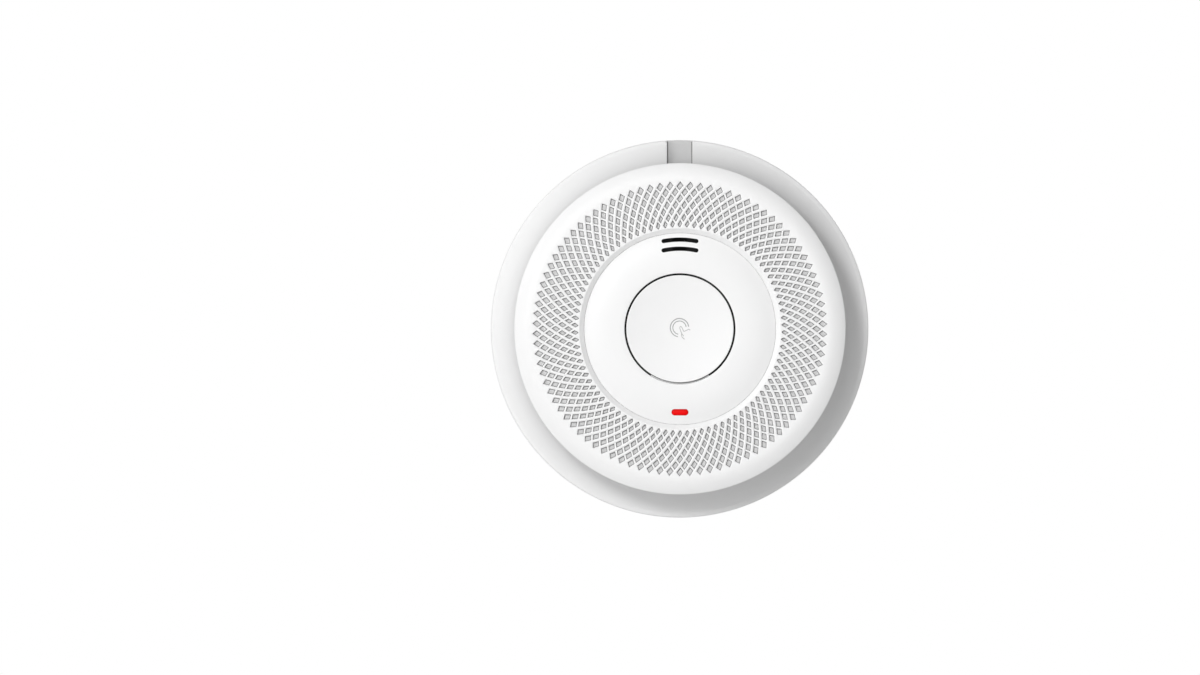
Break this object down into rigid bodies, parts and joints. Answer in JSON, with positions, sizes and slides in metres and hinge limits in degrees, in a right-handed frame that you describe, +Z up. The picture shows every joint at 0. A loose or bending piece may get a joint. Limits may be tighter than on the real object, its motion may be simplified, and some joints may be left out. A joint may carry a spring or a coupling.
{
  "type": "smoke and carbon monoxide alarm",
  "caption": "Round white smoke and carbon monoxide alarm with a ring of diamond vents, a press-to-test button, a status lens and a twist-off wall bracket.",
  "frame": {"origin": "centre of the mounting bracket's back face, on the wall", "axes": "-Y out of the wall through the face of the alarm, +Y into the wall, +Z up towards the index notch, +X to the right as seen from the front"},
  "size_m": [0.135, 0.045, 0.135],
  "materials": {
    "cover_plastic": "fine-textured white moulding",
    "face_plastic": "fine-textured white moulding",
    "housing_plastic": "fine-textured white moulding",
    "bracket_plastic": "fine-textured white moulding",
    "screen_grey": "pale grey woven gauze",
    "black_plastic": "matt black, light-tight",
    "foam": "closed-cell foam",
    "red_lens": "clear red acrylic",
    "board_green": "green solder mask",
    "radio_blue": "blue solder mask",
    "screw_steel": "zinc plated",
    "contact_steel": "nickel plated",
    "shield_tin": "tinned",
    "mesh_steel": "woven wire",
    "emitter_plastic": "water-clear, blue tint",
    "sensor_plastic": "dark filter resin",
    "gas_cell_plastic": "ivory moulding",
    "gas_filter": "carbon cloth",
    "gold_plate": "gold plated",
    "sounder_brass": "rolled",
    "ceramic_white": "fired ceramic with silver electrode",
    "chip_black": "moulded epoxy",
    "led_white": "white resin",
    "ferrite_grey": "pressed ferrite",
    "capacitor_sleeve": "dark sleeve on an aluminium can",
    "component_tan": "fired ceramic",
    "battery_jacket": "plain printed film, no lettering"
  },
  "bodies": {
    "bracket": {"mounting_bracket": "bracket_plastic"},
    "head": {"rear_housing": "housing_plastic", "front_cover": "cover_plastic", "centre_plate": "face_plastic", "insect_screen": "screen_grey", "inner_shroud": "black_plastic", "light_pipe": "red_lens", "main_board": "board_green", "board_screws": "screw_steel", "housing_screws": "screw_steel", "chamber_base": "black_plastic", "chamber_cover": "black_plastic", "chamber_mesh": "mesh_steel", "infrared_emitter": "emitter_plastic", "photodiode": "sensor_plastic", "gas_cell_body": "gas_cell_plastic", "gas_cell_cap": "contact_steel", "gas_cell_pins": "gold_plate", "gas_cell_filter": "gas_filter", "sounder_base": "black_plastic", "sounder_cap": "black_plastic", "sounder_disc": "sounder_brass", "sounder_ceramic": "ceramic_white", "sounder_contacts": "contact_steel", "sounder_gasket": "foam", "sounder_gauze": "gas_filter", "switch_body": "chip_black", "status_led": "led_white", "control_chip": "chip_black", "sensor_chip": "chip_black", "radio_board": "radio_blue", "radio_shield": "shield_tin", "radio_antenna": "gold_plate", "storage_capacitors": "capacitor_sleeve", "boost_coil": "ferrite_grey", "small_components": "component_tan", "battery_1": "battery_jacket", "battery_2": "battery_jacket", "battery_springs": "contact_steel", "battery_bridge": "contact_steel", "battery_terminals": "contact_steel"},
    "button": {"test_button": "face_plastic"},
    "plunger": {"switch_plunger": "black_plastic"},
    "door": {"battery_door": "housing_plastic", "door_pad": "foam"}
  },
  "joints": [
    {"name": "head_twist", "type": "hinge", "parent": "bracket", "child": "head", "pos_m": [0, 0, 0], "axis": [0, -1, 0], "range_deg": [0, 18]},
    {"name": "button_press", "type": "hinge", "parent": "head", "child": "button", "pos_m": [0, -0.041, -0.02275], "axis": [-1, 0, 0], "range_deg": [0, 1.8], "stiffness_Nm_per_rad": 1.5, "springref_deg": -0.57},
    {"name": "switch_press", "type": "slide", "parent": "head", "child": "plunger", "axis": [0, 1, 0], "range_m": [0, 0.0008]},
    {"name": "battery_door_hinge", "type": "hinge", "parent": "head", "child": "door", "pos_m": [0, -0.0086, -0.01852], "axis": [-1, 0, 0], "range_deg": [0, 95]}
  ],
  "couplings": [
    {"joint": "switch_press", "follows": "button_press", "m_per_rad": 0.02275}
  ]
}
